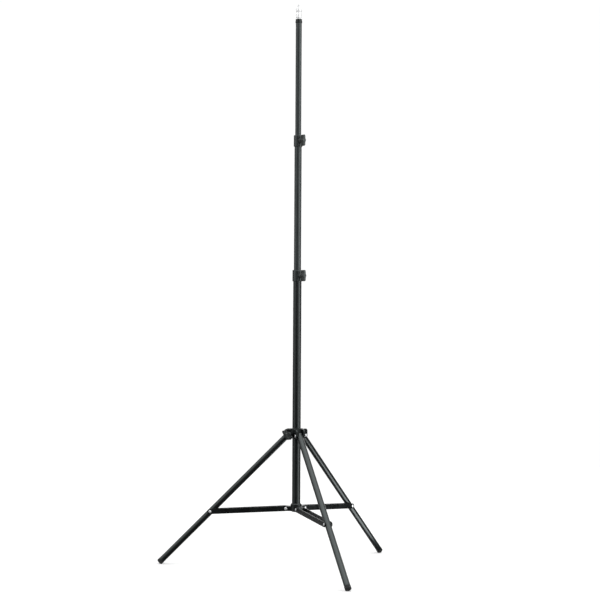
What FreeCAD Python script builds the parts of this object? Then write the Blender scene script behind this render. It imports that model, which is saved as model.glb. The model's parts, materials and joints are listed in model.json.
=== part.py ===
import FreeCAD, Part
import math
import os

from FreeCAD import Vector

# Photographic light stand, in millimetres. +Z is up, the floor is z = 0 and the column stands on the Z axis.
# It is drawn set up: legs open, both telescoping sections part way out, all three screws tight.

# ---- Driving dimensions: column -----------------------------------------------------------------
LOWER_TUBE_RADIUS = 11.0
MIDDLE_TUBE_RADIUS = 9.5
TOP_TUBE_RADIUS = 8.0
TUBE_WALL = 1.0
LOWER_COLLAR_Z = 768.5        # middle of each clamp collar
UPPER_COLLAR_Z = 1123.0
COLUMN_TOP_Z = 1443.5         # top face of the end cap, where the spigot starts
MIDDLE_TUBE_BOTTOM_Z = 510.0
TOP_TUBE_BOTTOM_Z = 838.0

# ---- Driving dimensions: tripod -----------------------------------------------------------------
LEG_AZIMUTHS = (90.0, 210.0, 330.0)
LEG_LENGTH = 487.0            # hub rivet to the end face of the foot
LEG_RADIUS = 8.0
LEG_OPEN_ANGLE = 45.0         # leg from the vertical, set up
HUB_PIVOT_RADIUS = 24.5       # column axis to the leg rivets
LEG_JOINT_LENGTH = 290.0      # hub rivet to the rivet that joins leg and brace
BRACE_LENGTH = 204.0          # between the rivets of a brace
BRACE_PIVOT_RADIUS = 26.0     # column axis to the brace rivets
BAR_HEIGHT = 13.5
BAR_THICKNESS = 1.5
BAR_GAP = 17.6                # between the two bars of a brace

# ---- Driving dimensions: clamps -----------------------------------------------------------------
COLLAR_HEIGHT = 30.0
COLLAR_WALL = 2.1             # moulding outside the tube that it is pressed on
COLLAR_LIP = 4.0              # top of the collar, which closes in on the inner tube
BOSS_RADIUS = 7.0
SCREW_RADIUS = 3.0            # M6
KNOB_DEPTH = 15.5
KNOB_HALF_LENGTH = 14.8
LOWER_KNOB_AZIMUTH = -14.0
UPPER_KNOB_AZIMUTH = -19.0
HUB_KNOB_AZIMUTH = 270.0
HUB_KNOB_TWIST = 42.0         # how far the wings of the hub knob stand from upright
HUB_BOSS_END = 31.0

# ---- Driving dimensions: spigot -----------------------------------------------------------------
SPIGOT_RADIUS = 7.9375        # 5/8 inch
SPIGOT_LENGTH = 29.0
STUD_RADIUS = 3.175           # 1/4 inch screw
STUD_LENGTH = 9.5

# ---- Fits ---------------------------------------------------------------------------------------
SNUG = 0.02                   # radial, pieces that are fixed to each other
RUNNING = 0.05                # radial, pieces that turn or slide in each other
APART = 0.3                   # between neighbours that move past each other

# ---- Rivets, feet and bushes --------------------------------------------------------------------
RIVET_RADIUS = 2.0
RIVET_HEAD_RADIUS = 3.8
RIVET_HEAD_HEIGHT = 1.7
FOOT_RADIUS = 8.3
FOOT_LENGTH = 10.0
FOOT_FLAT = 1.6               # how deep the tread of a foot is worn flat where it meets the floor
BUSH_SLEEVE = 45.0            # length of the nylon sleeve round the lower end of an inner tube
BUSH_END = 8.0

# ---- Where the pivots come to, with the stand open -----------------------------------------------
leg_angle = math.radians(LEG_OPEN_ANGLE)
foot_z = FOOT_RADIUS * math.sin(leg_angle) - FOOT_FLAT
hub_pivot_z = foot_z + LEG_LENGTH * math.cos(leg_angle)
joint_radius = HUB_PIVOT_RADIUS + LEG_JOINT_LENGTH * math.sin(leg_angle)
joint_z = hub_pivot_z - LEG_JOINT_LENGTH * math.cos(leg_angle)
brace_angle = -math.acos((joint_radius - BRACE_PIVOT_RADIUS) / BRACE_LENGTH)
brace_pivot_z = joint_z - BRACE_LENGTH * math.sin(brace_angle)

ORIGIN = Vector(0, 0, 0)
X = Vector(1, 0, 0)
Y = Vector(0, 1, 0)
Z = Vector(0, 0, 1)
FAR = 60.0                    # longer than any cut has to be


# ---- Shapes that repeat -------------------------------------------------------------------------

def rod(axis, radius, start, end):
    """A round bar about one of the three axes."""
    return Part.makeCylinder(radius, end - start, axis * start, axis)


def tube(radius, bore, start, end):
    """An upright tube about the Z axis."""
    return rod(Z, radius, start, end).cut(rod(Z, bore, start - 1, end + 1))


def block(x, y, z):
    """A box from its three (low, high) pairs."""
    return Part.makeBox(x[1] - x[0], y[1] - y[0], z[1] - z[0], Vector(x[0], y[0], z[0]))


def joined(first, *others):
    """One solid of several that overlap, without the seams between them."""
    return first.fuse(list(others)).removeSplitter()


def softened(shape, radius, wanted):
    """The shape with a fillet on each edge for which wanted(edge) is true."""
    return shape.makeFillet(radius, [edge for edge in shape.Edges if wanted(edge)])


def is_ring(edge):
    """True for a whole circle."""
    return isinstance(edge.Curve, Part.Circle) and len(edge.Vertexes) == 1


def ring_at(axis, place, radius):
    """A test for the whole circle of that radius that crosses the axis at that place."""
    def wanted(edge):
        return (is_ring(edge) and abs(edge.Curve.Radius - radius) < 0.01
                and abs(edge.Curve.Center.dot(axis) - place) < 0.01)
    return wanted


def placed(shape, azimuth, pivot_radius=0.0, pivot_z=0.0, swing=0.0, twist=0.0):
    """Puts a shape drawn about the origin at a pivot of the stand.

    swing turns it upwards about its Y axis and twist about its X axis, then it goes out to the
    pivot, and the whole is turned about the column to its azimuth. All angles are in degrees.
    """
    copy = shape.copy()
    copy.rotate(ORIGIN, X, twist)
    copy.rotate(ORIGIN, Y, -swing)
    copy.translate(Vector(pivot_radius, 0, pivot_z))
    copy.rotate(ORIGIN, Z, azimuth)
    return copy


def rivet_head(face, side):
    """A domed rivet head on the Y axis that sits on the plane y = face and bulges to that side."""
    rise = RIVET_HEAD_HEIGHT
    ball = (RIVET_HEAD_RADIUS ** 2 + rise ** 2) / (2 * rise)
    middle = face + side * (rise - ball)
    low, high = sorted((face, face + side * FAR))
    return Part.makeSphere(ball, Y * middle).common(block((-FAR, FAR), (low, high), (-FAR, FAR)))


def through_rivet(half_grip):
    """A rivet along the Y axis with a head at each end of its grip."""
    shank = rod(Y, RIVET_RADIUS, -half_grip, half_grip)
    return joined(shank, rivet_head(half_grip, 1), rivet_head(-half_grip, -1))


def rivet_hole(clearance, centre=ORIGIN):
    """The hole for such a rivet."""
    hole = rod(Y, RIVET_RADIUS + clearance, -FAR, FAR)
    hole.translate(centre)
    return hole


# ---- Clamp screw: pad, screw, nut and knob, along +X from the column axis -------------------------

PAD_RADIUS = 3.5
PAD_THICKNESS = 2.0
NUT_RADIUS = 4.6
NUT_LENGTH = 4.4
KNOB_GAP = 0.5                # between the boss and the knob
KNOB_BASE_RADIUS = 7.4
KNOB_BASE_THICKNESS = 4.0
WING_THICKNESS = 7.0
WING_MIDDLE_RADIUS = 6.0
WING_ROOT = 2.0               # where the wings leave the base of the knob
WING_SHOULDER = 6.5           # where they reach their full length
WING_CROWN = 1.8              # bulge of the outer edge
SCREW_IN_KNOB = 10.0


def clamp_pad(tube_radius):
    """The nylon pad that the screw presses on the tube, with a hollow face that fits it."""
    pad = rod(X, PAD_RADIUS, tube_radius - 1, tube_radius + APART + PAD_THICKNESS)
    return pad.cut(rod(Z, tube_radius + APART, -FAR, FAR))


def clamp_nut(boss_end):
    """The brass insert in the boss, with its thread bored plain."""
    start = boss_end - NUT_LENGTH - 0.2
    insert = rod(X, NUT_RADIUS, start, start + NUT_LENGTH)
    insert = insert.cut(rod(X, SCREW_RADIUS + RUNNING, -FAR, FAR))
    return insert.makeChamfer(0.4, [edge for edge in insert.Edges
                                    if is_ring(edge) and edge.Curve.Radius > SCREW_RADIUS + 1])


def clamp_screw(tube_radius, boss_end):
    """The steel screw, from the back of the pad into the knob."""
    start = tube_radius + APART + PAD_THICKNESS + 0.1
    end = boss_end + KNOB_GAP + SCREW_IN_KNOB
    screw = rod(X, SCREW_RADIUS, start, end)
    return screw.makeChamfer(0.5, [edge for edge in screw.Edges if ring_at(X, start, SCREW_RADIUS)(edge)])


def wing_outline():
    """Side view of the wings, in the XZ plane, with a crowned outer edge."""
    shoulder = KNOB_DEPTH - WING_CROWN
    full = KNOB_HALF_LENGTH
    half = KNOB_BASE_RADIUS - 1
    corners = [Vector(shoulder, 0, full), Vector(WING_SHOULDER, 0, full), Vector(WING_ROOT, 0, half),
               Vector(WING_ROOT, 0, -half), Vector(WING_SHOULDER, 0, -full), Vector(shoulder, 0, -full)]
    edges = [Part.makeLine(a, b) for a, b in zip(corners, corners[1:])]
    edges.append(Part.Arc(corners[-1], Vector(KNOB_DEPTH, 0, 0), corners[0]).toShape())
    return Part.Face(Part.Wire(edges))


def wing_section():
    """End view of the wings, as a bar along X: a round middle and two wings with round ends."""
    half = WING_THICKNESS / 2
    reach = KNOB_HALF_LENGTH - half
    wings = block((0, KNOB_DEPTH + 1), (-half, half), (-reach, reach))
    ends = [rod(X, half, 0, KNOB_DEPTH + 1).translated(Z * side * reach) for side in (-1, 1)]
    return joined(rod(X, WING_MIDDLE_RADIUS, 0, KNOB_DEPTH + 1), wings, *ends)


def clamp_knob(boss_end):
    """The moulded wing knob, bored for its screw."""
    thick = WING_THICKNESS + 6
    wings = wing_outline().extrude(Y * thick).translated(Y * (-thick / 2)).common(wing_section())
    wings = wings.makeFillet(1.0, [edge for edge in wings.Edges
                                   if edge.BoundBox.XMin > KNOB_DEPTH - WING_CROWN - 0.01])
    base = rod(X, KNOB_BASE_RADIUS, 0, KNOB_BASE_THICKNESS)
    base = softened(base, 0.6, is_ring)
    knob = joined(base, wings)
    knob = knob.cut(rod(X, SCREW_RADIUS + SNUG, -1, SCREW_IN_KNOB + SNUG))
    return knob.translated(X * (boss_end + KNOB_GAP))


def screw_bore(tube_radius, boss_end):
    """What is taken out of a boss for the pad, the screw and the nut."""
    way = rod(X, PAD_RADIUS + RUNNING, tube_radius - 2, boss_end)
    pocket = rod(X, NUT_RADIUS + SNUG, boss_end - NUT_LENGTH - 0.2 - SNUG, boss_end + 1)
    return way.fuse(pocket)


# ---- Column -------------------------------------------------------------------------------------

def collar_boss_end(tube_radius):
    """How far from the axis the screw boss of a collar ends."""
    return tube_radius + COLLAR_WALL + 4.5


def clamp_collar(outer_radius, inner_radius, centre_z, azimuth):
    """The moulded collar pressed on the outer tube, which clamps the inner tube."""
    half = COLLAR_HEIGHT / 2
    boss_end = collar_boss_end(outer_radius)
    barrel = rod(Z, outer_radius + COLLAR_WALL, -half, half)
    barrel = softened(barrel, 1.5, is_ring)
    boss = softened(rod(X, BOSS_RADIUS, 0, boss_end), 0.8, ring_at(X, boss_end, BOSS_RADIUS))
    body = joined(barrel, boss)
    body = body.cut(rod(Z, outer_radius + SNUG, -half - 1, half - COLLAR_LIP))
    body = body.cut(rod(Z, inner_radius + RUNNING, -half - 1, half + 1))
    body = body.cut(screw_bore(inner_radius, boss_end))
    return placed(body, azimuth, 0, centre_z)


def pad_window(collar_z, azimuth):
    """The hole in an outer tube that lets the pad reach the inner one."""
    return placed(rod(X, PAD_RADIUS + 0.5, 1, FAR), azimuth, 0, collar_z)


def outer_tube(radius, bottom_z, collar_z, azimuth):
    """A column tube that ends under the lip of its collar and is pierced for the pad."""
    top_z = collar_z + COLLAR_HEIGHT / 2 - COLLAR_LIP - SNUG
    pipe = tube(radius, radius - TUBE_WALL, bottom_z, top_z)
    return pipe.cut(pad_window(collar_z, azimuth))


def guide_bush(tube_radius, outer_bore, bottom_z):
    """The nylon bush on the lower end of an inner tube: a thin sleeve, an end flange and a plug."""
    outside = outer_bore - RUNNING
    sleeve = tube(outside, tube_radius + SNUG, bottom_z - SNUG, bottom_z + BUSH_SLEEVE)
    end = rod(Z, outside, bottom_z - BUSH_END, bottom_z - SNUG)
    end = softened(end, 1.0, ring_at(Z, bottom_z - BUSH_END, outside))
    plug = rod(Z, tube_radius - TUBE_WALL - SNUG, bottom_z - 2, bottom_z + 10)
    return joined(end, sleeve, plug).cut(rod(Z, tube_radius - 4, bottom_z - FAR, bottom_z + FAR))


def lower_tube_bottom():
    """Height of the lower end of the column, just under the brace rivets."""
    return brace_pivot_z - BAR_HEIGHT / 2


def base_plug():
    """The plug that closes the lower end of the column."""
    bottom = lower_tube_bottom()
    flange = softened(rod(Z, LOWER_TUBE_RADIUS - 0.2, bottom - 2, bottom - SNUG), 0.8,
                      ring_at(Z, bottom - 2, LOWER_TUBE_RADIUS - 0.2))
    stem = rod(Z, LOWER_TUBE_RADIUS - TUBE_WALL - SNUG, bottom - 1, bottom + 9)
    return joined(flange, stem).cut(rod(Z, LOWER_TUBE_RADIUS - 4, bottom + 1, bottom + FAR))


# ---- Base bracket with its three tongues --------------------------------------------------------

BRACKET_RADIUS = 14.7
BRACKET_RISE = 13.5           # top of the bracket above the brace rivets
TONGUE_RADIUS = 6.5
TONGUE_HALF_WIDTH = BAR_GAP / 2 - APART
BASE_RIVET_AZIMUTH = 30.0
BASE_RIVET_SEAT = BRACKET_RADIUS - 0.6    # flat of the spot face under the head of its rivet
BASE_RIVET_RADIUS = 1.6


def base_bracket():
    """The moulding on the foot of the column, with a tongue for each brace."""
    bottom = -BAR_HEIGHT / 2
    ring = rod(Z, BRACKET_RADIUS, bottom, BRACKET_RISE)
    top_edge = ring_at(Z, BRACKET_RISE, BRACKET_RADIUS)
    ring = ring.makeChamfer(2.4, [edge for edge in ring.Edges if top_edge(edge)])
    tongues = []
    for azimuth in LEG_AZIMUTHS:
        eye = rod(Y, TONGUE_RADIUS, -TONGUE_HALF_WIDTH, TONGUE_HALF_WIDTH).translated(X * BRACE_PIVOT_RADIUS)
        arm = block((LOWER_TUBE_RADIUS, BRACE_PIVOT_RADIUS), (-TONGUE_HALF_WIDTH, TONGUE_HALF_WIDTH),
                    (-TONGUE_RADIUS, TONGUE_RADIUS))
        tongues.append(placed(joined(arm, eye), azimuth))
    body = joined(ring, *tongues)
    body = body.cut(rod(Z, LOWER_TUBE_RADIUS + SNUG, -FAR, FAR))
    for azimuth in LEG_AZIMUTHS:
        body = body.cut(placed(rivet_hole(SNUG), azimuth, BRACE_PIVOT_RADIUS))
    body = body.cut(placed(rod(Y, RIVET_HEAD_RADIUS + APART, BASE_RIVET_SEAT, FAR), BASE_RIVET_AZIMUTH - 90))
    body = body.translated(Z * brace_pivot_z)
    return body.cut(base_rivet_hole())


def base_rivet():
    """The rivet that pins the bracket to the column, with its head outside and its tail in the tube."""
    shank = rod(Y, BASE_RIVET_RADIUS, LOWER_TUBE_RADIUS - TUBE_WALL - 0.6, BASE_RIVET_SEAT)
    pin = joined(shank, rivet_head(BASE_RIVET_SEAT, 1))
    return placed(pin, BASE_RIVET_AZIMUTH - 90, 0, brace_pivot_z)


def base_rivet_hole():
    """The hole for that rivet through bracket, column wall and plug."""
    hole = rod(Y, BASE_RIVET_RADIUS + SNUG, 1, FAR)
    return placed(hole, BASE_RIVET_AZIMUTH - 90, 0, brace_pivot_z)


def brace_pivot_rivets():
    """One rivet through each tongue and the two bars beside it."""
    grip = BAR_GAP / 2 + BAR_THICKNESS + 0.15
    return Part.makeCompound([placed(through_rivet(grip), azimuth, BRACE_PIVOT_RADIUS, brace_pivot_z)
                              for azimuth in LEG_AZIMUTHS])


# ---- Leg hub ------------------------------------------------------------------------------------

HUB_RADIUS = 17.0
HUB_DROP = 7.5                # hub below its rivets
HUB_RISE = 19.0               # hub above its rivets
EAR_RISE = 17.5
CHEEK_THICKNESS = 4.0
CHEEK_GAP = 16.8
CHEEK_END = 6.5               # cheek beyond the rivet
EAR_FLOOR = 15.8              # column axis to the bottom of the slot between two cheeks
HUB_KNOB_RISE = 3.0           # clamp screw above the rivets


def hub_ear():
    """A pair of cheeks as one block, with a rounded lower and upper outer corner, before its slot is cut."""
    half = CHEEK_GAP / 2 + CHEEK_THICKNESS
    end = HUB_PIVOT_RADIUS + CHEEK_END
    ear = block((LOWER_TUBE_RADIUS, end), (-half, half), (-HUB_DROP, EAR_RISE))

    def outer_corner(edge):
        box = edge.BoundBox
        return box.XMin > end - 0.01 and box.YLength > half
    ear = softened(ear, CHEEK_END, outer_corner)
    return softened(ear, 0.8, lambda edge: edge.BoundBox.XMax > HUB_RADIUS and edge.BoundBox.YLength < 0.01)


def leg_hub():
    """The moulding that slides on the column and carries the legs, with its screw boss."""
    ring = softened(rod(Z, HUB_RADIUS, -HUB_DROP, HUB_RISE), 1.2, is_ring)
    ears = [placed(hub_ear(), azimuth) for azimuth in LEG_AZIMUTHS]
    boss = softened(rod(X, BOSS_RADIUS, 0, HUB_BOSS_END), 0.8, ring_at(X, HUB_BOSS_END, BOSS_RADIUS))
    boss = placed(boss, HUB_KNOB_AZIMUTH, 0, HUB_KNOB_RISE)
    body = joined(ring, boss, *ears)
    slot = block((EAR_FLOOR, FAR), (-CHEEK_GAP / 2, CHEEK_GAP / 2), (-FAR, FAR))
    for azimuth in LEG_AZIMUTHS:
        body = body.cut(placed(slot, azimuth))
        body = body.cut(placed(rivet_hole(SNUG), azimuth, HUB_PIVOT_RADIUS))
    body = body.cut(rod(Z, LOWER_TUBE_RADIUS + RUNNING, -FAR, FAR))
    bore = screw_bore(LOWER_TUBE_RADIUS, HUB_BOSS_END)
    body = body.cut(placed(bore, HUB_KNOB_AZIMUTH, 0, HUB_KNOB_RISE))
    return body.translated(Z * hub_pivot_z)


def leg_pivot_rivets():
    """One rivet through each pair of cheeks and the leg between them."""
    grip = CHEEK_GAP / 2 + CHEEK_THICKNESS
    return Part.makeCompound([placed(through_rivet(grip), azimuth, HUB_PIVOT_RADIUS, hub_pivot_z)
                              for azimuth in LEG_AZIMUTHS])


# ---- Leg: drawn hanging down from its rivet at the origin -----------------------------------------

PLUG_LENGTH = 26.0


def leg_end(radius):
    """Everything below the rivet, and a round end of that radius about it."""
    below = block((-FAR, FAR), (-FAR, FAR), (-LEG_LENGTH - FAR, 0))
    return below.fuse(rod(Y, radius, -FAR, FAR))


def leg_tube():
    """The leg itself, rounded about its rivet, with the holes for both rivets."""
    pipe = rod(Z, LEG_RADIUS, -LEG_LENGTH + FOOT_LENGTH, LEG_RADIUS + 1)
    pipe = pipe.cut(rod(Z, LEG_RADIUS - TUBE_WALL, -LEG_LENGTH, LEG_RADIUS + 2))
    pipe = pipe.common(leg_end(LEG_RADIUS))
    pipe = pipe.cut(rivet_hole(RUNNING))
    return pipe.cut(rivet_hole(RUNNING, Vector(0, 0, -LEG_JOINT_LENGTH)))


def leg_plug():
    """The nylon plug in the upper end of the leg, which keeps the rivet from crushing the tube."""
    plug = rod(Z, LEG_RADIUS - TUBE_WALL - SNUG, -PLUG_LENGTH, LEG_RADIUS)
    return plug.common(leg_end(LEG_RADIUS - 0.3)).cut(rivet_hole(RUNNING))


def leg_foot():
    """The rubber foot: a rounded tip over the end of the tube and a ribbed plug inside it."""
    top = -LEG_LENGTH + FOOT_LENGTH - SNUG
    tip = rod(Z, FOOT_RADIUS, -LEG_LENGTH, top)
    tip = softened(tip, 1.6, ring_at(Z, -LEG_LENGTH, FOOT_RADIUS))
    tip = softened(tip, 0.4, ring_at(Z, top, FOOT_RADIUS))
    plug = rod(Z, LEG_RADIUS - TUBE_WALL - SNUG, top - 1, top + 18)
    return joined(tip, plug)


def above_floor(shape):
    """The shape with whatever would go into the floor worn away."""
    return shape.cut(block((-FAR * 10, FAR * 10), (-FAR * 10, FAR * 10), (-FAR, 0)))


# ---- Brace: drawn lying along +X from its rivet at the origin --------------------------------------

def brace_bar(side):
    """One flat bar of a brace, on the +Y or the -Y side, with round ends and two holes."""
    half = BAR_HEIGHT / 2
    inner = BAR_GAP / 2
    low, high = sorted((side * inner, side * (inner + BAR_THICKNESS)))
    bar = joined(block((0, BRACE_LENGTH), (low, high), (-half, half)),
                 rod(Y, half, low, high), rod(Y, half, low, high).translated(X * BRACE_LENGTH))
    bar = softened(bar, 0.35, lambda edge: edge.BoundBox.YLength < 0.01)
    return bar.cut(rivet_hole(RUNNING)).cut(rivet_hole(SNUG, X * BRACE_LENGTH))


def brace_rivets():
    """The two ends of the rivet at the leg: each has its head outside a bar and stops flush inside it."""
    ends = []
    for side in (-1, 1):
        inner = side * BAR_GAP / 2
        outer = side * (BAR_GAP / 2 + BAR_THICKNESS)
        shank = rod(Y, RIVET_RADIUS, min(inner, outer), max(inner, outer))
        ends.append(joined(shank, rivet_head(outer, side)).translated(X * BRACE_LENGTH))
    return Part.makeCompound(ends)


# ---- Top of the column --------------------------------------------------------------------------

CAP_RADIUS = 8.4
CAP_FLANGE_RADIUS = 9.0
CAP_HEIGHT = 10.0
CAP_ROOF = 2.0
SHANK_RADIUS = 6.9
SHANK_LENGTH = 36.0
NECK_RADIUS = 4.5
NECK_HEIGHT = 3.0
WAIST_RADIUS = 6.5
WAIST_LOW = 13.5              # groove of the spigot, from its foot
WAIST_HIGH = 21.0
PIN_RADIUS = 1.5
PIN_DROP = 22.0


def top_cap():
    """The black cap on the top tube: a slim rim over a wider flange."""
    top = COLUMN_TOP_Z
    rim = softened(rod(Z, CAP_RADIUS, top - CAP_HEIGHT, top), 0.5, ring_at(Z, top, CAP_RADIUS))
    flange = softened(rod(Z, CAP_FLANGE_RADIUS, top - CAP_HEIGHT, top - CAP_HEIGHT / 2), 0.5, is_ring)
    body = joined(rim, flange)
    body = body.cut(rod(Z, TOP_TUBE_RADIUS + SNUG, top - CAP_HEIGHT - 1, top - CAP_ROOF))
    return body.cut(rod(Z, SHANK_RADIUS + SNUG, top - FAR, top + 1))


def spigot():
    """The steel spigot with its waist and screw stud, turned from one bar."""
    foot = COLUMN_TOP_Z
    top = foot + SPIGOT_LENGTH
    outline = [(0, foot - SHANK_LENGTH), (SHANK_RADIUS - 0.8, foot - SHANK_LENGTH),
               (SHANK_RADIUS, foot - SHANK_LENGTH + 0.8), (SHANK_RADIUS, foot), (NECK_RADIUS, foot),
               (NECK_RADIUS, foot + NECK_HEIGHT), (SPIGOT_RADIUS - 0.7, foot + NECK_HEIGHT),
               (SPIGOT_RADIUS, foot + NECK_HEIGHT + 0.7), (SPIGOT_RADIUS, foot + WAIST_LOW),
               (WAIST_RADIUS, foot + WAIST_LOW + 1.5), (WAIST_RADIUS, foot + WAIST_HIGH - 1.5),
               (SPIGOT_RADIUS, foot + WAIST_HIGH), (SPIGOT_RADIUS, top - 0.9), (SPIGOT_RADIUS - 0.9, top),
               (STUD_RADIUS, top), (STUD_RADIUS, top + STUD_LENGTH - 0.7),
               (STUD_RADIUS - 0.7, top + STUD_LENGTH), (0, top + STUD_LENGTH)]
    points = [Vector(radius, 0, z) for radius, z in outline]
    turned = Part.Face(Part.makePolygon(points + points[:1])).revolve(ORIGIN, Z, 360)
    return turned.cut(spigot_pin_hole())


def spigot_pin():
    """The pin across the top tube that keeps the spigot in it."""
    reach = TOP_TUBE_RADIUS - 0.1
    pin = rod(Y, PIN_RADIUS, -reach, reach).translated(Z * (COLUMN_TOP_Z - PIN_DROP))
    return placed(pin, UPPER_KNOB_AZIMUTH)


def spigot_pin_hole():
    """The hole for that pin."""
    hole = rod(Y, PIN_RADIUS + SNUG, -FAR, FAR).translated(Z * (COLUMN_TOP_Z - PIN_DROP))
    return placed(hole, UPPER_KNOB_AZIMUTH)


def top_tube():
    """The slimmest tube, from its guide bush up into the cap."""
    top_z = COLUMN_TOP_Z - CAP_ROOF - SNUG
    pipe = tube(TOP_TUBE_RADIUS, TOP_TUBE_RADIUS - TUBE_WALL, TOP_TUBE_BOTTOM_Z, top_z)
    return pipe.cut(spigot_pin_hole())


# ---- The whole stand, as named pieces -----------------------------------------------------------

def clamp_pieces(name, tube_radius, boss_end, z, azimuth, twist=0.0):
    """The pieces of one clamp screw, placed on the stand."""
    pieces = {name + "_pad": clamp_pad(tube_radius), name + "_knob": clamp_knob(boss_end),
              name + "_knob_screw": clamp_screw(tube_radius, boss_end)}
    return {piece: placed(shape, azimuth, 0, z, 0, twist if piece.endswith("_knob") else 0)
            for piece, shape in pieces.items()}


def column_pieces():
    """The three tubes with their collars, bushes, plug, cap and spigot."""
    lower_boss = collar_boss_end(LOWER_TUBE_RADIUS)
    upper_boss = collar_boss_end(MIDDLE_TUBE_RADIUS)
    lower_bore = LOWER_TUBE_RADIUS - TUBE_WALL
    middle_bore = MIDDLE_TUBE_RADIUS - TUBE_WALL
    lower = (LOWER_COLLAR_Z, LOWER_KNOB_AZIMUTH)
    upper = (UPPER_COLLAR_Z, UPPER_KNOB_AZIMUTH)
    lower_tube = outer_tube(LOWER_TUBE_RADIUS, lower_tube_bottom(), *lower)
    pieces = {
        "lower_tube": lower_tube.cut(base_rivet_hole()),
        "base_plug": base_plug().cut(base_rivet_hole()),
        "lower_collar": clamp_collar(LOWER_TUBE_RADIUS, MIDDLE_TUBE_RADIUS, *lower),
        "lower_collar_nut": placed(clamp_nut(lower_boss), LOWER_KNOB_AZIMUTH, 0, LOWER_COLLAR_Z),
        "middle_tube": outer_tube(MIDDLE_TUBE_RADIUS, MIDDLE_TUBE_BOTTOM_Z, *upper),
        "middle_guide_bush": guide_bush(MIDDLE_TUBE_RADIUS, lower_bore, MIDDLE_TUBE_BOTTOM_Z),
        "upper_collar": clamp_collar(MIDDLE_TUBE_RADIUS, TOP_TUBE_RADIUS, *upper),
        "upper_collar_nut": placed(clamp_nut(upper_boss), UPPER_KNOB_AZIMUTH, 0, UPPER_COLLAR_Z),
        "top_tube": top_tube(),
        "top_guide_bush": guide_bush(TOP_TUBE_RADIUS, middle_bore, TOP_TUBE_BOTTOM_Z),
        "top_cap": top_cap(),
        "spigot": spigot(),
        "spigot_pin": spigot_pin(),
    }
    pieces.update(clamp_pieces("lower", MIDDLE_TUBE_RADIUS, lower_boss, *lower))
    pieces.update(clamp_pieces("upper", TOP_TUBE_RADIUS, upper_boss, *upper))
    return pieces


def tripod_pieces():
    """The base bracket, the sliding hub, and three legs with their braces."""
    knob_z = hub_pivot_z + HUB_KNOB_RISE
    pieces = {
        "base_bracket": base_bracket(),
        "base_rivet": base_rivet(),
        "brace_pivot_rivets": brace_pivot_rivets(),
        "leg_hub": leg_hub(),
        "leg_hub_nut": placed(clamp_nut(HUB_BOSS_END), HUB_KNOB_AZIMUTH, 0, knob_z),
        "leg_pivot_rivets": leg_pivot_rivets(),
    }
    pieces.update(clamp_pieces("hub", LOWER_TUBE_RADIUS, HUB_BOSS_END, knob_z, HUB_KNOB_AZIMUTH,
                               HUB_KNOB_TWIST))
    swing = math.degrees(brace_angle)
    for number, azimuth in enumerate(LEG_AZIMUTHS, 1):
        leg = {"tube": leg_tube(), "plug": leg_plug(), "foot": leg_foot()}
        for name, shape in leg.items():
            whole = placed(shape, azimuth, HUB_PIVOT_RADIUS, hub_pivot_z, LEG_OPEN_ANGLE)
            pieces[f"leg_{number}_{name}"] = above_floor(whole) if name == "foot" else whole
        brace = {"left_bar": brace_bar(1), "right_bar": brace_bar(-1), "rivets": brace_rivets()}
        for name, shape in brace.items():
            whole = placed(shape, azimuth, BRACE_PIVOT_RADIUS, brace_pivot_z, swing)
            pieces[f"brace_{number}_{name}"] = whole
    return pieces


def main():
    os.makedirs("parts", exist_ok=True)
    pieces = {**column_pieces(), **tripod_pieces()}
    for name, shape in pieces.items():
        solids = len(shape.Solids)
        print(f"{name:22s} solids {solids}  volume {shape.Volume:10.1f}  valid {shape.isValid()}")
        shape.exportStep(f"parts/{name}.step")
    print(f"pieces {len(pieces)}, hub rivets z {hub_pivot_z:.3f}, brace rivets z {brace_pivot_z:.3f}, "
          f"brace angle {math.degrees(brace_angle):.3f}")


main()
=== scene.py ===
import json
import math

import bmesh
import bpy
from mathutils import Matrix, Vector


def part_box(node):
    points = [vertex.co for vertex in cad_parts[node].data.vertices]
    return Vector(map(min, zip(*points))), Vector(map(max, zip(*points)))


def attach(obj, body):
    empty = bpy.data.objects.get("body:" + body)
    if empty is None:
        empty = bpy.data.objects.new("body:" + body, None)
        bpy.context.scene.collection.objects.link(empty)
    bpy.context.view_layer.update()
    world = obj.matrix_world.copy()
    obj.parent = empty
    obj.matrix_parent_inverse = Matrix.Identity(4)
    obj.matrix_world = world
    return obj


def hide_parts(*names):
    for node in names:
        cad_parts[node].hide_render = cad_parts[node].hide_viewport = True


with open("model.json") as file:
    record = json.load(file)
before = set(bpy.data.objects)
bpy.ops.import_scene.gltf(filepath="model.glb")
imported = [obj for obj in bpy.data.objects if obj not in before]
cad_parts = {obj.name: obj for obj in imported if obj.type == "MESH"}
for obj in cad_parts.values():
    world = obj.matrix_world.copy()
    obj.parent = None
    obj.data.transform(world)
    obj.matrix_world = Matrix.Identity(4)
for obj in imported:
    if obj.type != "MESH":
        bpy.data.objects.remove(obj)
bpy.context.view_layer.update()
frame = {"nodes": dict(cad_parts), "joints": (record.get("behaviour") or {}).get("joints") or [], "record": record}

# A folding light stand. Lengths are in metres, in the frame of the CAD part: +Z up, floor at z = 0.
MM = 0.001
Z = Vector((0, 0, 1))
ROUND_STEPS = 4               # points on each rounded corner of a turned outline
TURN_STEPS = 96               # faces round a turned piece
ON_AXIS = 1e-7                # a turned outline that comes nearer than that ends in a point
THREAD_ROWS = 12              # rings of vertices in one pitch of a thread
WING_STEPS = 96               # faces along each flank of a knob
FLANK_STEPS = 6               # and from its inner to its outer edge

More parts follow.
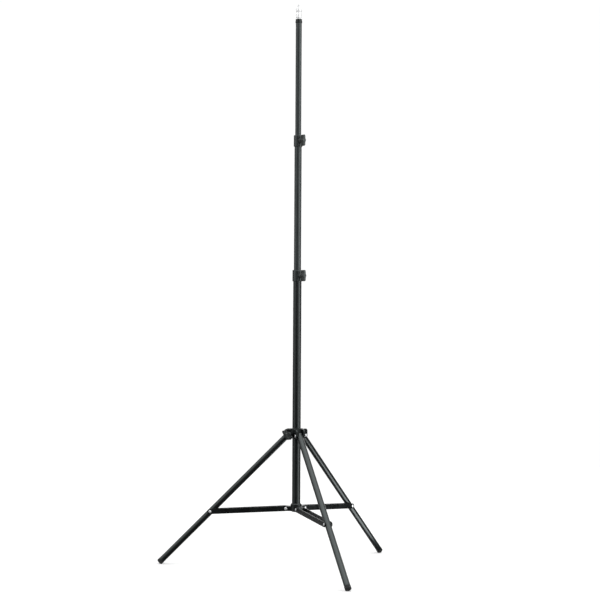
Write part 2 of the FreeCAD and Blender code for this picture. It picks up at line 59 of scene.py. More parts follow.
# ---- Camera and light ----------------------------------------------------------------------------
CAMERA_AZIMUTH = 39.78
CAMERA_DISTANCE = 4.2728      # from the column's axis
CAMERA_HEIGHT = 0.6826
CAMERA_PITCH = 0.296          # degrees upwards
CAMERA_YAW = -0.097
CAMERA_ROLL = 0.324
CAMERA_LENS = 97.48           # mm, on a 36 mm sensor
CAMERA_RANGE = 200            # metres it sees
BACKDROP_LIGHT = 1.02         # surround as the camera sees it, just over white
FLOOR_LIGHT = 1.1             # surround as the floor and other matt surfaces see it
FLOOR_RADIUS = 3.0
FLOOR_STEPS = 96
FLOOR_COLOUR = (0.96, 0.96, 0.96)
# What a polished surface sees of the surround, in soft round patches:
# (degrees right of the camera, degrees up, half width in degrees, brightness)
GLOWS = (
    (0.0, 90.0, 90.0, 0.5),
    (0.0, 90.0, 60.0, 1.6),
    (-60.0, 32.0, 50.0, 1.05),
    (-120.0, 15.0, 45.0, 0.25),
    (48.0, 30.0, 50.0, 2.0),
    (180.0, 10.0, 42.0, 2.0),
    (180.0, -50.0, 40.0, 0.5),
)
# Softboxes: (name, degrees right of the camera, distance, height, width, tall, power)
SOFTBOXES = (
    ("left_softbox", -72.0, 2.4, 0.9, 0.7, 2.6, 6.0),
    ("right_softbox", 72.0, 2.4, 0.9, 0.7, 2.6, 22.0),
    ("top_softbox", 0.0, 0.8, 3.4, 2.2, 2.2, 8.0),
)
SOFTBOX_AIM = (0, 0, 0.7)
# Bounce card on the floor beside the rear right leg
CARD_MIDDLE = (0.25, 0.21)
CARD_TURN = -33.0             # degrees from +X
CARD_LENGTH = 0.48
CARD_WIDTH = 0.26
CARD_HEIGHT = 0.003
CARD_POWER = 1.5

# ---- Sizes of the visible detail -----------------------------------------------------------------
HUB_KNOB_TWIST = 42.0         # degrees the wings of the hub knob stand from upright
KNOB_DEPTH = 15.5 * MM
KNOB_HALF_LENGTH = 14.8 * MM
KNOB_BASE_RADIUS = 7.4 * MM
KNOB_BASE_DEPTH = 4.0 * MM
WING_HALF_THICKNESS = 3.5 * MM
WING_MIDDLE_RADIUS = 4.9 * MM
WING_ROOT = 1.0 * MM          # back of the wings from the back of the knob, in the middle
WING_SHOULDER = 1.4 * MM      # and at the tips
WING_CROWN = 0.8 * MM         # the outer edge is that much lower at the wing tips
WING_BLEND = 1.2 * MM         # fillet between the round middle and the wings
WING_OUTER_EDGE = 1.0 * MM    # radius of the outer edge
WING_INNER_EDGE = 0.4 * MM
GRIP_RIBS = 4
GRIP_START = 6.6 * MM         # the grooves lie between these distances from the knob's axis
GRIP_END = 12.6 * MM
GRIP_DEPTH = 0.45 * MM
SCREW_RADIUS = 3.0 * MM
SCREW_PITCH = 1.0 * MM
SCREW_THREAD = 0.55 * MM
STUD_RADIUS = 3.175 * MM
STUD_PITCH = 1.27 * MM
STUD_THREAD = 0.7 * MM
STUD_LENGTH = 9.5 * MM
STUD_ROOT_RADIUS = 2.6 * MM
STUD_ROOT_LENGTH = 0.6 * MM
SPIGOT_SHANK_RADIUS = 6.9 * MM
SPIGOT_NECK_RADIUS = 4.5 * MM
SPIGOT_NECK_TOP = 3.0 * MM    # heights on the spigot are above the cap
SPIGOT_LOW_EDGE = 0.7 * MM
SPIGOT_TOP_EDGE = 0.9 * MM
WAIST_RADIUS = 6.5 * MM
WAIST_BOTTOM = 13.5 * MM
WAIST_TOP = 21.0 * MM
WAIST_SLOPE = 1.5 * MM        # height of each cone between drum and waist
RIVET_HEAD_RADIUS = 3.8 * MM
RIVET_HEAD_HEIGHT = 1.7 * MM
RIVET_RADIUS = 2.0 * MM
HUB_RIVET_SEAT = 12.4 * MM    # seats are from the middle of the rivet to the underside of its head
HUB_RIVET_SHANK = 12.0 * MM
BRACKET_RIVET_SEAT = 10.45 * MM
BRACKET_RIVET_SHANK = 10.0 * MM
BRACE_RIVET_SEAT = 10.3 * MM
BRACE_RIVET_SHANK = 1.5 * MM
FOOT_RIM_RADIUS = 8.3 * MM
FOOT_PLUG_RADIUS = 6.95 * MM
FOOT_TIP_LENGTH = 10 * MM
FOOT_GROOVES = (1.9, 4.3)     # where each groove starts, mm down the tip
FOOT_GROOVE_DEPTH = 0.45 * MM
FOOT_EDGE = 1.4 * MM
FOOT_HOLLOW_RADIUS = 3.8 * MM
FOOT_HOLLOW_DEPTH = 0.6 * MM
FOOT_DUST_HEIGHT = 9 * MM

# ---- Colours -------------------------------------------------------------------------------------
SPECULAR_TINT = (0.9, 1.0, 0.99)      # the faint cold green of the black finishes
TUBE_DARK = (0.004, 0.0047, 0.0049)
TUBE_LIGHT = (0.0068, 0.0079, 0.0082)
TUBE_RUB = (0.05, 0.052, 0.052)
# Tubes of the column: (how far the rubbed lines show, scale of the base colour: painted shade on the lower tube,
# painted light on the middle and top tubes)
COLUMN_RUBS_AND_PAINTED_LIGHT = {"lower_tube": (0.25, 0.5), "middle_tube": (0.7, 2.5), "top_tube": (0.8, 2.5)}
LEG_WEAR = 0.2


# ---- Frame helpers -------------------------------------------------------------------------------

def joint(name):
    """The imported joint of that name."""
    return next(j for j in frame["joints"] if j["name"] == name)


def axes(origin, along, up):
    """A matrix that puts a piece drawn about X (along) and Z (up) at a place of the stand."""
    x = Vector(along).normalized()
    y = Vector(up).cross(x).normalized()
    z = x.cross(y)
    turned = Matrix((x, y, z)).transposed().to_4x4()
    return Matrix.Translation(Vector(origin)) @ turned


def reach(node, place, direction):
    """How far a CAD node lies from a place along a direction: (nearest, farthest)."""
    along = Vector(direction).normalized()
    start = Vector(place).dot(along)
    steps = [v.co.dot(along) - start for v in frame["nodes"][node].data.vertices]
    return min(steps), max(steps)


# ---- Mesh helpers --------------------------------------------------------------------------------

def rounded(outline, soft):
    """An outline of (radius, distance) corners with each inner corner turned into a small curve."""
    points = [Vector(corner) for corner in outline]
    smooth = [points[0]]
    for before, corner, after in zip(points, points[1:], points[2:]):
        back, ahead = before - corner, after - corner
        cut = min(soft, back.length * 0.45, ahead.length * 0.45)
        start = corner + back.normalized() * cut
        end = corner + ahead.normalized() * cut
        for step in range(ROUND_STEPS + 1):
            t = step / ROUND_STEPS
            smooth.append(start * (1 - t) ** 2 + corner * 2 * t * (1 - t) + end * t ** 2)
    smooth.append(points[-1])
    return smooth


def skin(mesh, rings):
    """Faces between rings of vertices, with the first and last ring closed by a fan."""
    for lower, upper in zip(rings, rings[1:]):
        count = max(len(lower), len(upper))
        for i in range(count):
            j = (i + 1) % count
            below = [lower[i % len(lower)], lower[j % len(lower)]]
            above = [upper[j % len(upper)], upper[i % len(upper)]]
            corners = below + above
            mesh.faces.new([v for k, v in enumerate(corners) if v is not corners[k - 1]])
    for ring, flip in ((rings[0], True), (rings[-1], False)):
        if len(ring) > 1:
            centre = mesh.verts.new(sum((v.co for v in ring), Vector()) / len(ring))
            for i, vertex in enumerate(ring):
                other = ring[(i + 1) % len(ring)]
                mesh.faces.new((other, vertex, centre) if flip else (vertex, other, centre))


def turn(mesh, outline, place, soft=0.3 * MM, steps=TURN_STEPS):
    """A solid of revolution about the local X axis, from an outline of (radius, distance along X)."""
    angles = [2 * math.pi * i / steps for i in range(steps)]
    rings = []
    for radius, along in rounded(outline, soft):
        if radius < ON_AXIS:
            points = [Vector((along, 0, 0))]
        else:
            points = [Vector((along, radius * math.cos(a), radius * math.sin(a))) for a in angles]
        rings.append([mesh.verts.new(place @ point) for point in points])
    skin(mesh, rings)


def threaded(mesh, place, radius, depth, pitch, start, end, lead=0.0, steps=64):
    """A screw thread about the local X axis, tapered to its core at both ends. lead: its share at start."""
    rows = round((end - start) / pitch * THREAD_ROWS)
    rings = []
    for row in range(rows + 1):
        along = start + (end - start) * row / rows
        run_out = min(1.0, (end - along) / pitch / 0.6, (along - start) / pitch / 0.6 + lead)
        ring = []
        for i in range(steps):
            angle = 2 * math.pi * i / steps
            phase = (along / pitch - i / steps) % 1.0
            groove = depth * min(1.0, max(0.0, 1.25 - abs(phase - 0.5) * 2.5))
            here = radius - groove - (1 - run_out) * (depth - groove) * 0.8
            point = Vector((along, here * math.cos(angle), here * math.sin(angle)))
            ring.append(mesh.verts.new(place @ point))
        rings.append(ring)
    skin(mesh, rings)


def piece(name, mesh, body, slot, material, *nodes, crease=35.0):
    """Makes the object, gives it its material, sets it on its body and lets it stand for CAD nodes."""
    bmesh.ops.recalc_face_normals(mesh, faces=mesh.faces)
    data = bpy.data.meshes.new(name)
    mesh.to_mesh(data)
    mesh.free()
    data.polygons.foreach_set("use_smooth", [True] * len(data.polygons))
    data.set_sharp_from_angle(angle=math.radians(crease))
    shown = bpy.data.objects.new(name, data)
    bpy.context.scene.collection.objects.link(shown)
    data.materials.append(material)
    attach(shown, body)
    if nodes:
        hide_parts(*nodes)


# ---- Material helpers ----------------------------------------------------------------------------

class Paint:
    """One material under construction: its nodes, its links and its shader."""

    def __init__(self, name, colour, roughness, metallic=0.0, specular=0.5):
        self.material = bpy.data.materials.new(name)
        self.material.use_nodes = True
        self.tree = self.material.node_tree
        self.shader = self.tree.nodes["Principled BSDF"]
        self.shader.inputs["Base Color"].default_value = (*colour, 1)
        self.shader.inputs["Roughness"].default_value = roughness
        self.shader.inputs["Metallic"].default_value = metallic
        self.shader.inputs["Specular IOR Level"].default_value = specular
        self.shader.inputs["Specular Tint"].default_value = (*SPECULAR_TINT, 1)
        self.coordinates = self.node("ShaderNodeTexCoord").outputs["Object"]

    def node(self, kind, **settings):
        made = self.tree.nodes.new(kind)
        for name, value in settings.items():
            setattr(made, name, value)
        return made

    def link(self, output, target):
        self.tree.links.new(output, target)

    def stretched(self, scale, turn_to=None):
        """Object coordinates in millimetres over the grain size, turned so that Z runs along a piece."""
        source = self.coordinates
        if turn_to is not None:
            turned = self.node("ShaderNodeMapping")
            turned.inputs["Rotation"].default_value = Z.rotation_difference(turn_to).inverted().to_euler()
            self.link(source, turned.inputs["Vector"])
            source = turned.outputs["Vector"]
        mapping = self.node("ShaderNodeMapping")
        mapping.inputs["Scale"].default_value = [1 / (size * MM) for size in scale]
        self.link(source, mapping.inputs["Vector"])
        return mapping.outputs["Vector"]

    def noise(self, grain, detail=3.0, roughness=0.5, turn_to=None):
        """Noise with a grain of that many millimetres, one number or one for each axis."""
        sizes = grain if isinstance(grain, tuple) else (grain, grain, grain)
        made = self.node("ShaderNodeTexNoise")
        made.inputs["Scale"].default_value = 1.0
        made.inputs["Detail"].default_value = detail
        made.inputs["Roughness"].default_value = roughness
        self.link(self.stretched(sizes, turn_to), made.inputs["Vector"])
        return made.outputs["Fac"]

    def between(self, factor, low, high, out_low, out_high):
        """A number that goes from out_low to out_high as the factor goes from low to high."""
        made = self.node("ShaderNodeMapRange")
        for name, value in (("From Min", low), ("From Max", high), ("To Min", out_low), ("To Max", out_high)):
            made.inputs[name].default_value = value
        self.link(factor, made.inputs["Value"])
        return made.outputs["Result"]

    def mixed(self, factor, first, second):
        """A colour between two, each a colour or the output of another node."""
        made = self.node("ShaderNodeMix", data_type="RGBA")
        self.link(factor, made.inputs[0])
        for target, value in ((made.inputs[6], first), (made.inputs[7], second)):
            if isinstance(value, tuple):
                target.default_value = (*value, 1)
            else:
                self.link(value, target)
        return made.outputs[2]

    def times(self, first, second):
        """The product of two factors."""
        made = self.node("ShaderNodeMath", operation="MULTIPLY")
        self.link(first, made.inputs[0])
        self.link(second, made.inputs[1])
        return made.outputs[0]

    def colour(self, output):
        self.link(output, self.shader.inputs["Base Color"])

    def rough(self, output):
        self.link(output, self.shader.inputs["Roughness"])

    def bump(self, *layers):
        """Bumps from (height output, depth in millimetres) layers, one on the other."""
        below = None
        for height, depth in layers:
            made = self.node("ShaderNodeBump")
            made.inputs["Strength"].default_value = 1.0
            made.inputs["Distance"].default_value = depth * MM
            self.link(height, made.inputs["Height"])
            if below is not None:
                self.link(below, made.inputs["Normal"])
            below = made.outputs["Normal"]
        self.link(below, self.shader.inputs["Normal"])


# ---- Materials -----------------------------------------------------------------------------------

def black_tube(name, along, wear, shade=1.0):
    """Satin black anodised tube: drawn lines along it, cloudy dye, fine bright rubs where it slides. Its base
    colours are scaled by shade: painted shade below one, painted light above one.
    """
    # shade scales the colours: painted shade on the lower tube, painted light on the middle and top tubes
    dark = tuple(shade * part for part in TUBE_DARK)
    light = tuple(shade * part for part in TUBE_LIGHT)
    paint = Paint(name, dark, 0.32, specular=0.6)
    lines = paint.noise((0.35, 0.35, 60.0), 4.0, 0.6, along)
    cloud = paint.noise((9.0, 9.0, 40.0), 2.0, 0.5, along)
    base = paint.mixed(paint.between(cloud, 0.3, 0.7, 0, 1), dark, light)
    streaks = paint.noise((0.5, 0.5, 110.0), 2.0, 0.4, along)
    patches = paint.noise((14.0, 14.0, 60.0), 2.0, 0.5, along)
    rub = paint.times(paint.between(streaks, 0.62, 0.72, 0, wear), paint.between(patches, 0.45, 0.6, 0.2, 1))
    paint.colour(paint.mixed(rub, base, TUBE_RUB))
    paint.rough(paint.between(lines, 0.3, 0.7, 0.26, 0.38))
    paint.bump((lines, 0.012), (paint.noise(0.25, 2.0, 0.5, along), 0.006))
    return paint.material


def black_enamel():
    """Semi-gloss black enamel on the brace bars, with a faint orange peel and small chips."""
    paint = Paint("brace_enamel", (0.004, 0.0045, 0.0048), 0.27, specular=0.38)
    peel = paint.noise(1.6, 2.0, 0.5)
    cloud = paint.noise(18.0, 3.0, 0.5)
    clouded = paint.between(cloud, 0.35, 0.65, 0, 1)
    base = paint.mixed(clouded, (0.003, 0.0034, 0.0036), (0.0052, 0.0058, 0.006))
    chips = paint.between(paint.noise(2.4, 6.0, 0.7), 0.72, 0.75, 0, 1)
    paint.colour(paint.mixed(chips, base, (0.03, 0.031, 0.032)))
    paint.rough(paint.between(cloud, 0.3, 0.7, 0.22, 0.34))
    paint.bump((peel, 0.02))
    return paint.material


def moulding(name, dark, light, roughness, grain=0.5, specular=0.45):
    """Moulded nylon: a fine spark-eroded grain, slight colour clouds and a few polished rubs."""
    paint = Paint(name, dark, roughness, specular=specular)
    fine = paint.noise(grain, 3.0, 0.6)
    cloud = paint.noise(7.0, 3.0, 0.55)
    paint.colour(paint.mixed(paint.between(cloud, 0.3, 0.7, 0, 1), dark, light))
    rubs = paint.noise(3.0, 4.0, 0.6)
    paint.rough(paint.between(rubs, 0.35, 0.75, roughness + 0.04, roughness - 0.06))
    paint.bump((fine, 0.035), (cloud, 0.02))
    return paint.material


def rubber():
    """Black rubber with a dull bloom, greyer with dust near the floor."""
    paint = Paint("foot_rubber", (0.02, 0.02, 0.02), 0.75, specular=0.3)
    height = paint.node("ShaderNodeSeparateXYZ")
    paint.link(paint.coordinates, height.inputs[0])
    low = paint.between(height.outputs["Z"], 0.0, FOOT_DUST_HEIGHT, 1.0, 0.0)
    dust = paint.times(low, paint.between(paint.noise(1.2, 4.0, 0.7), 0.4, 0.75, 0.0, 0.8))
    paint.colour(paint.mixed(dust, (0.016, 0.016, 0.016), (0.085, 0.08, 0.074)))
    paint.rough(paint.between(paint.noise(2.0), 0.3, 0.7, 0.66, 0.86))
    paint.bump((paint.noise(0.4, 4.0, 0.6), 0.05))
    return paint.material


def metal(name, colour, shade, roughness, grain, depth, metallic=1.0):
    """Bare or plated metal with fine marks and cloudy polish. A dull satin plating is less metallic; on the spigot
    the pale colour and low metallic are also a painted sheen.
    """
    paint = Paint(name, colour, roughness, metallic=metallic)
    paint.shader.inputs["Specular Tint"].default_value = (1, 1, 1, 1)
    cloud = paint.noise(3.0, 3.0, 0.6)
    marks = paint.noise(grain, 3.0, 0.6)
    paint.colour(paint.mixed(paint.between(cloud, 0.3, 0.75, 0, 1), colour, shade))
    paint.rough(paint.between(marks, 0.3, 0.7, roughness - 0.07, roughness + 0.1))
    paint.bump((marks, depth))
    return paint.material


# ---- Pieces --------------------------------------------------------------------------------------

def spigot_piece(material):
    """The turned spigot: neck, two drums with a waist between them, and a real screw thread on top."""
    low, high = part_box("spigot")
    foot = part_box("top_cap")[1].z
    place = axes((0, 0, 0), Z, (0, 1, 0))
    drum = high.x
    shoulder = high.z - STUD_LENGTH
    neck_top = foot + SPIGOT_NECK_TOP
    waist_bottom, waist_top = foot + WAIST_BOTTOM, foot + WAIST_TOP
    stud_foot = shoulder + STUD_ROOT_LENGTH
    outline = [(0, low.z), (SPIGOT_SHANK_RADIUS, low.z), (SPIGOT_SHANK_RADIUS, foot),
               (SPIGOT_NECK_RADIUS, foot), (SPIGOT_NECK_RADIUS, neck_top),
               (drum - SPIGOT_LOW_EDGE, neck_top), (drum, neck_top + SPIGOT_LOW_EDGE),
               (drum, waist_bottom), (WAIST_RADIUS, waist_bottom + WAIST_SLOPE),
               (WAIST_RADIUS, waist_top - WAIST_SLOPE), (drum, waist_top),
               (drum, shoulder - SPIGOT_TOP_EDGE), (drum - SPIGOT_TOP_EDGE, shoulder),
               (STUD_ROOT_RADIUS, shoulder), (STUD_ROOT_RADIUS, stud_foot), (0, stud_foot)]
    mesh = bmesh.new()
    turn(mesh, outline, place, 0.22 * MM, 128)
    threaded(mesh, place, STUD_RADIUS, STUD_THREAD, STUD_PITCH, shoulder + STUD_ROOT_LENGTH / 2, high.z)
    piece("spigot_turned", mesh, "top_section", "spigot_steel", material, "spigot")


def rivet_heads(name, centres, body, material, node):
    """Domed rivet heads with a dimple, each given by its seat, outward direction and length of shank."""
    mesh = bmesh.new()
    top = RIVET_HEAD_HEIGHT
    rim = RIVET_HEAD_RADIUS
    for seat, outward, shank in centres:
        outline = [(0, -shank), (RIVET_RADIUS, -shank), (RIVET_RADIUS, 0), (rim * 0.97, 0), (rim, 0.25 * MM),
                   (rim * 0.9, top * 0.52), (rim * 0.68, top * 0.83), (rim * 0.36, top),
                   (rim * 0.27, top * 0.96), (rim * 0.2, top * 0.7), (0, top * 0.62)]
        turn(mesh, outline, axes(seat, outward, Z), 0.35 * MM, 48)
    piece(name, mesh, body, "rivet_steel", material, node, crease=60)


def rivet_seats(pivot, axis, half_grip, shank):
    """Both heads of one rivet: the axis passes through the pivot."""
    pivot, axis = Vector(pivot), Vector(axis).normalized()
    return [(pivot + axis * side * half_grip, axis * side, shank) for side in (-1, 1)]


def wing_half_thickness(z):
    """Half thickness of the knob at a height: a round middle that sinks into the two wings."""
    bulge = math.sqrt(max(0.0, WING_MIDDLE_RADIUS ** 2 - z * z))
    tip = KNOB_HALF_LENGTH - WING_HALF_THICKNESS
    wing = WING_HALF_THICKNESS
    if abs(z) > tip:
        wing = math.sqrt(max(0.0, WING_HALF_THICKNESS ** 2 - (abs(z) - tip) ** 2))
    thick = max(bulge, wing)
    return thick + WING_BLEND * math.exp(-((bulge - wing) / WING_BLEND) ** 2) * 0.25 * (abs(z) < tip)


def grip(z):
    """Depth of the grip grooves at a height on the wings."""
    share = (abs(z) - GRIP_START) / (GRIP_END - GRIP_START)
    if not 0 <= share <= 1:
        return 0.0
    return GRIP_DEPTH * (0.5 - 0.5 * math.cos(2 * math.pi * share * GRIP_RIBS))


def wing_outline(inset):
    """End view of the wings as (y, z) points round the knob, drawn in by inset."""
    heights = [-KNOB_HALF_LENGTH * math.cos(math.pi * i / WING_STEPS) for i in range(WING_STEPS + 1)]
    scale = (KNOB_HALF_LENGTH - inset) / KNOB_HALF_LENGTH
    side = [(max(0.0, wing_half_thickness(z) - grip(z) - inset), z * scale) for z in heights]
    back = [(-y, z) for y, z in reversed(side[1:-1])]
    return side + back


def knob_piece(clamp, place, material):
    """A moulded wing knob with a round base, a crowned edge and grip grooves on both flanks."""
    mesh = bmesh.new()
    base = KNOB_BASE_RADIUS
    outline = [(0, 0), (base, 0), (base, KNOB_BASE_DEPTH * 0.75), (base - 0.8 * MM, KNOB_BASE_DEPTH),
               (0, KNOB_BASE_DEPTH)]
    turn(mesh, outline, place, 0.5 * MM, 72)
    rings = []

    def ring(inset, share, shift):
        """One ring of the wings, drawn in by inset, at a share of their depth and shifted outwards."""
        vertices = []
        for y, z in wing_outline(inset):
            size = min(1.0, abs(z) / KNOB_HALF_LENGTH)
            out = KNOB_DEPTH - WING_CROWN * size * size
            slope = max(0.0, (abs(z) - base) / (KNOB_HALF_LENGTH - base))
            root = WING_ROOT + (WING_SHOULDER - WING_ROOT) * slope
            along = root + (out - root) * share + shift
            vertices.append(mesh.verts.new(place @ Vector((along, y, z))))
        rings.append(vertices)

    for step in range(ROUND_STEPS + 1):
        angle = math.pi / 2 * step / ROUND_STEPS
        ring(WING_INNER_EDGE * (1 - math.sin(angle)), 0.0, WING_INNER_EDGE * (1 - math.cos(angle)))
    for step in range(1, FLANK_STEPS):
        ring(0.0, step / FLANK_STEPS, 0.0)
    for step in range(ROUND_STEPS + 2):
        angle = math.pi / 2 * step / (ROUND_STEPS + 1)
        ring(WING_OUTER_EDGE * (1 - math.cos(angle)), 1.0, -WING_OUTER_EDGE * (1 - math.sin(angle)))
    skin(mesh, rings)
    piece(f"{clamp}_wing_knob", mesh, f"{clamp}_knob", "knob_plastic", material, f"{clamp}_knob", crease=50)


def knob_screw_piece(clamp, place, material):
    """The threaded screw between pad and knob."""
    node = f"{clamp}_knob_screw"
    start, end = reach(node, place.translation, place.to_3x3().col[0])
    mesh = bmesh.new()
    threaded(mesh, place, SCREW_RADIUS, SCREW_THREAD, SCREW_PITCH, start, end, 0.3, 48)
    piece(f"{clamp}_thread", mesh, f"{clamp}_knob", "screw_steel", material, node, crease=60)


def foot_piece(number, material):
    """The rubber foot: a grooved tip whose lower edge is worn flat on the floor."""
    leg = joint(f"leg_{number}_fold")
    pivot = Vector(leg["pos_m"])
    outward = Vector((pivot.x, pivot.y, 0)).normalized()
    along = (outward - Z).normalized()
    node = f"leg_{number}_foot"
    plug, end = reach(node, pivot, along)
    place = axes(pivot, along, outward + Z)
    rim = FOOT_RIM_RADIUS
    groove = rim - FOOT_GROOVE_DEPTH
    tip = end - FOOT_TIP_LENGTH
    outline = [(0, plug), (FOOT_PLUG_RADIUS, plug), (FOOT_PLUG_RADIUS, tip), (rim - 0.5 * MM, tip),
               (rim, tip + 0.6 * MM)]
    for down in FOOT_GROOVES:
        outline += [(rim, tip + down * MM), (groove, tip + (down + 0.4) * MM),
                    (groove, tip + (down + 1.0) * MM), (rim, tip + (down + 1.4) * MM)]
    hollow = end - FOOT_HOLLOW_DEPTH
    outline += [(rim, end - FOOT_EDGE), (rim - FOOT_EDGE, end), (FOOT_HOLLOW_RADIUS + 0.4 * MM, end),
                (FOOT_HOLLOW_RADIUS, hollow), (0, hollow)]
    mesh = bmesh.new()
    turn(mesh, outline, place)
    for vertex in mesh.verts:
        vertex.co.z = max(vertex.co.z, 0.0)
    piece(f"leg_{number}_rubber_foot", mesh, f"leg_{number}", "foot_rubber", material, node)


# ---- The stand -----------------------------------------------------------------------------------

def clamp_place(clamp):
    """The frame of a clamp screw: X outwards along the screw, from the column's axis."""
    turning = joint(f"{clamp}_knob_turn")
    along = Vector(turning["axis"])
    at = Vector(turning["pos_m"])
    return axes((0, 0, at.z), along, Z)


def knob_place(clamp):
    """Where a knob sits: its back face on the clamp's axis, with its wings turned as they are."""
    place = clamp_place(clamp)
    near, _ = reach(f"{clamp}_knob", place.translation, place.to_3x3().col[0])
    twist = HUB_KNOB_TWIST if clamp == "hub" else 0.0
    return place @ Matrix.Translation((near, 0, 0)) @ Matrix.Rotation(math.radians(twist), 4, "X")


def build_pieces(finish):
    """Every detailed piece that stands for a CAD node."""
    spigot_piece(finish["spigot_steel"])
    for clamp in ("hub", "lower", "upper"):
        # the hub's knob gets the darker copy of the knob plastic, painted shade
        plastic = finish["hub_knob_shaded_plastic" if clamp == "hub" else "knob_plastic"]
        knob_piece(clamp, knob_place(clamp), plastic)
        knob_screw_piece(clamp, clamp_place(clamp), finish["screw_steel"])
    legs, braces = [], []
    for number in (1, 2, 3):
        foot_piece(number, finish["foot_rubber"])
        leg = joint(f"leg_{number}_fold")
        legs += rivet_seats(leg["pos_m"], leg["axis"], HUB_RIVET_SEAT, HUB_RIVET_SHANK)
        brace = joint(f"brace_{number}_fold")
        braces += rivet_seats(brace["pos_m"], brace["axis"], BRACKET_RIVET_SEAT, BRACKET_RIVET_SHANK)
        node = f"brace_{number}_rivets"
        low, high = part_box(node)
        outer = rivet_seats((low + high) / 2, brace["axis"], BRACE_RIVET_SEAT, BRACE_RIVET_SHANK)
        rivet_heads(f"brace_{number}_leg_rivets", outer, f"brace_{number}", finish["rivet_steel"], node)
    rivet_heads("hub_leg_rivets", legs, "hub", finish["rivet_steel"], "leg_pivot_rivets")
    rivet_heads("bracket_rivets", braces, "base", finish["rivet_steel"], "brace_pivot_rivets")


def finishes():
    """One material for each slot of the record but the tubes', and a darker copy of the knob plastic for the hub's
    knob: painted shade.
    """
    return {
        # one moulded plastic at two tones: this lighter one, raised to the collars' lit grey, is painted light;
        # hub and bracket get a darker copy, painted shade
        "moulding_plastic": moulding("moulding_plastic", (0.007, 0.0078, 0.0081), (0.011, 0.0122, 0.0126),
                                     0.34, 0.5, 0.65),
        "knob_plastic": moulding("knob_plastic", (0.018, 0.0195, 0.019), (0.03, 0.0322, 0.0315), 0.44, 0.7),
        # darker copy of the knob plastic: painted shade on the hub's knob
        "hub_knob_shaded_plastic": moulding("hub_knob_shaded_plastic", (0.006, 0.0066, 0.0066), (0.012, 0.013, 0.0128),
                                     0.42, 0.7, 0.32),
        "cap_black": moulding("cap_black", (0.003, 0.0034, 0.0036), (0.005, 0.0056, 0.0058), 0.36, 0.9),
        "nylon": moulding("nylon", (0.09, 0.09, 0.088), (0.12, 0.12, 0.118), 0.5),
        "brace_black": black_enamel(),
        "foot_rubber": rubber(),
        "rivet_steel": metal("rivet_steel", (0.72, 0.73, 0.74), (0.58, 0.59, 0.6), 0.32, 0.9, 0.01, 0.75),
        "screw_steel": metal("screw_steel", (0.62, 0.62, 0.6), (0.48, 0.47, 0.44), 0.32, 0.5, 0.01),
        "insert_brass": metal("insert_brass", (0.78, 0.58, 0.26), (0.6, 0.42, 0.17), 0.3, 0.5, 0.01),
        # near-white, half-diffuse colour: painted sheen standing in for the spigot's bright reflections
        "spigot_steel": metal("spigot_steel", (0.89, 0.895, 0.9), (0.82, 0.825, 0.83), 0.33,
                              (12.0, 12.0, 0.18), 0.006, 0.56),
    }


def paint_cad_nodes(finish):
    """Gives the tubes a material of their own, hub and bracket a darker copy of the moulding plastic as painted
    shade, and every other CAD node that of its slot.
    """
    slots = {row["node"]: row["material_slot"] for row in frame["record"]["subparts"]}
    outward = {number: Vector(joint(f"leg_{number}_fold")["pos_m"]) for number in (1, 2, 3)}
    # hub and bracket: the moulding plastic made darker, painted shade
    shaded_moulding = moulding("shaded_moulding_plastic", (0.002, 0.0024, 0.0025), (0.004, 0.0045, 0.0047), 0.34, 0.6, 0.42)
    for name, shown in frame["nodes"].items():
        if name in COLUMN_RUBS_AND_PAINTED_LIGHT:
            material = black_tube(name, Z, *COLUMN_RUBS_AND_PAINTED_LIGHT[name])
        elif slots[name] == "tube_black":
            side = outward[int(name.split("_")[1])]
            along = (Vector((side.x, side.y, 0)).normalized() - Z).normalized()
            material = black_tube(name, along, LEG_WEAR)
        elif name in ("leg_hub", "base_bracket"):
            material = shaded_moulding
        else:
            material = finish[slots[name]]
        shown.data.materials.clear()
        shown.data.materials.append(material)


def aim(thing, target):
    """Turns a light so that it shines at a point."""
    thing.rotation_euler = (Vector(target) - thing.location).to_track_quat("-Z", "Y").to_euler()


def direction(azimuth, elevation=0.0):
    """The direction that many degrees right of the camera and that many up, from the stand."""
    side, rise = math.radians(CAMERA_AZIMUTH + azimuth), math.radians(elevation)
    return Vector((math.sin(side) * math.cos(rise), -math.cos(side) * math.cos(rise), math.sin(rise)))


def softbox(name, azimuth, distance, height, width, tall, power):
    """A rectangular soft light that stands beside or hangs over the stand."""
    light = bpy.data.lights.new(name, "AREA")
    light.shape = "RECTANGLE"
    light.size, light.size_y = width, tall
    light.energy = power
    lamp = bpy.data.objects.new(name, light)
    bpy.context.scene.collection.objects.link(lamp)
    lamp.location = direction(azimuth) * distance + Z * height
    lamp.visible_camera = False
    aim(lamp, SOFTBOX_AIM)


def bounce_card():
    """A small bright card that lies on the floor and faces up, seen in the polish of the leg beside it."""
    light = bpy.data.lights.new("bounce_card", "AREA")
    light.shape = "ELLIPSE"
    light.size, light.size_y = CARD_LENGTH, CARD_WIDTH
    light.energy = CARD_POWER
    card = bpy.data.objects.new("bounce_card", light)
    bpy.context.scene.collection.objects.link(card)
    card.location = (*CARD_MIDDLE, CARD_HEIGHT)
    card.rotation_euler = (math.pi, 0, math.radians(CARD_TURN))
    card.visible_camera = False


def stage_floor():
    """A wide plain pale floor, left out of reflections, which see the surround instead."""
    mesh = bmesh.new()
    bmesh.ops.create_circle(mesh, cap_ends=True, radius=FLOOR_RADIUS, segments=FLOOR_STEPS)
    data = bpy.data.meshes.new("floor")
    mesh.to_mesh(data)
    mesh.free()
    floor = bpy.data.objects.new("floor", data)
    bpy.context.scene.collection.objects.link(floor)
    paint = Paint("floor_paint", FLOOR_COLOUR, 0.9, specular=0.1)
    data.materials.append(paint.material)
    floor.visible_glossy = False


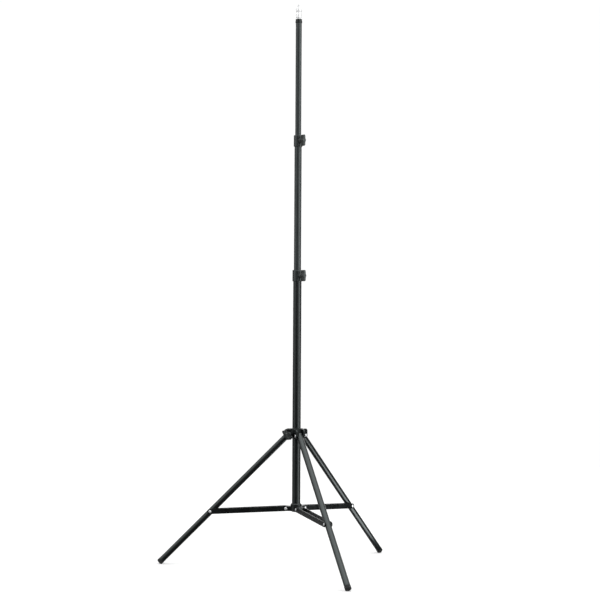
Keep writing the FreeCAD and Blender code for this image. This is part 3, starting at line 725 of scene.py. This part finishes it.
def glow(tree, azimuth, elevation, half_width, brightness):
    """A soft round bright patch of the surround: its brightness by direction."""
    where = tree.nodes.new("ShaderNodeTexCoord")
    dot = tree.nodes.new("ShaderNodeVectorMath")
    dot.operation = "DOT_PRODUCT"
    dot.inputs[1].default_value = direction(azimuth, elevation)
    tree.links.new(where.outputs["Generated"], dot.inputs[0])
    soft = tree.nodes.new("ShaderNodeMapRange")
    soft.interpolation_type = "SMOOTHSTEP"
    soft.inputs["From Min"].default_value = math.cos(math.radians(half_width))
    soft.inputs["To Max"].default_value = brightness
    tree.links.new(dot.outputs["Value"], soft.inputs["Value"])
    return soft.outputs["Result"]


def world_light():
    """A plain white surround: white behind the stand, soft on the floor, and darker in reflections."""
    world = bpy.data.worlds.new("studio")
    bpy.context.scene.world = world
    world.use_nodes = True
    tree = world.node_tree
    seen = tree.nodes["Background"]
    matt = tree.nodes.new("ShaderNodeBackground")
    gloss = tree.nodes.new("ShaderNodeBackground")
    for shader, strength in ((seen, BACKDROP_LIGHT), (matt, FLOOR_LIGHT), (gloss, 1.0)):
        shader.inputs["Color"].default_value = (1, 1, 1, 1)
        shader.inputs["Strength"].default_value = strength
    total = None
    for patch in GLOWS:
        part = glow(tree, *patch)
        if total is not None:
            add = tree.nodes.new("ShaderNodeMath")
            tree.links.new(total, add.inputs[0])
            tree.links.new(part, add.inputs[1])
            part = add.outputs[0]
        total = part
    tree.links.new(total, gloss.inputs["Strength"])
    path = tree.nodes.new("ShaderNodeLightPath")
    shown = matt.outputs[0]
    for ray, shader in (("Is Glossy Ray", gloss), ("Is Camera Ray", seen)):
        mix = tree.nodes.new("ShaderNodeMixShader")
        tree.links.new(path.outputs[ray], mix.inputs[0])
        tree.links.new(shown, mix.inputs[1])
        tree.links.new(shader.outputs[0], mix.inputs[2])
        shown = mix.outputs[0]
    tree.links.new(shown, tree.nodes["World Output"].inputs["Surface"])


def studio():
    """Floor, surround, soft lights, and the camera."""
    stage_floor()
    world_light()
    for box in SOFTBOXES:
        softbox(*box)
    bounce_card()
    bpy.context.scene.view_settings.view_transform = "Standard"
    data = bpy.data.cameras.new("camera")
    data.lens = CAMERA_LENS
    data.clip_end = CAMERA_RANGE
    camera = bpy.data.objects.new("camera", data)
    bpy.context.scene.collection.objects.link(camera)
    camera.location = direction(0) * CAMERA_DISTANCE + Z * CAMERA_HEIGHT
    heading = Matrix.Rotation(math.radians(CAMERA_AZIMUTH + CAMERA_YAW), 4, "Z")
    tilt = Matrix.Rotation(math.radians(90 + CAMERA_PITCH), 4, "X")
    roll = Matrix.Rotation(math.radians(CAMERA_ROLL), 4, "Z")
    camera.rotation_euler = (heading @ tilt @ roll).to_euler()
    bpy.context.scene.camera = camera


finish = finishes()
paint_cad_nodes(finish)
build_pieces(finish)
studio()
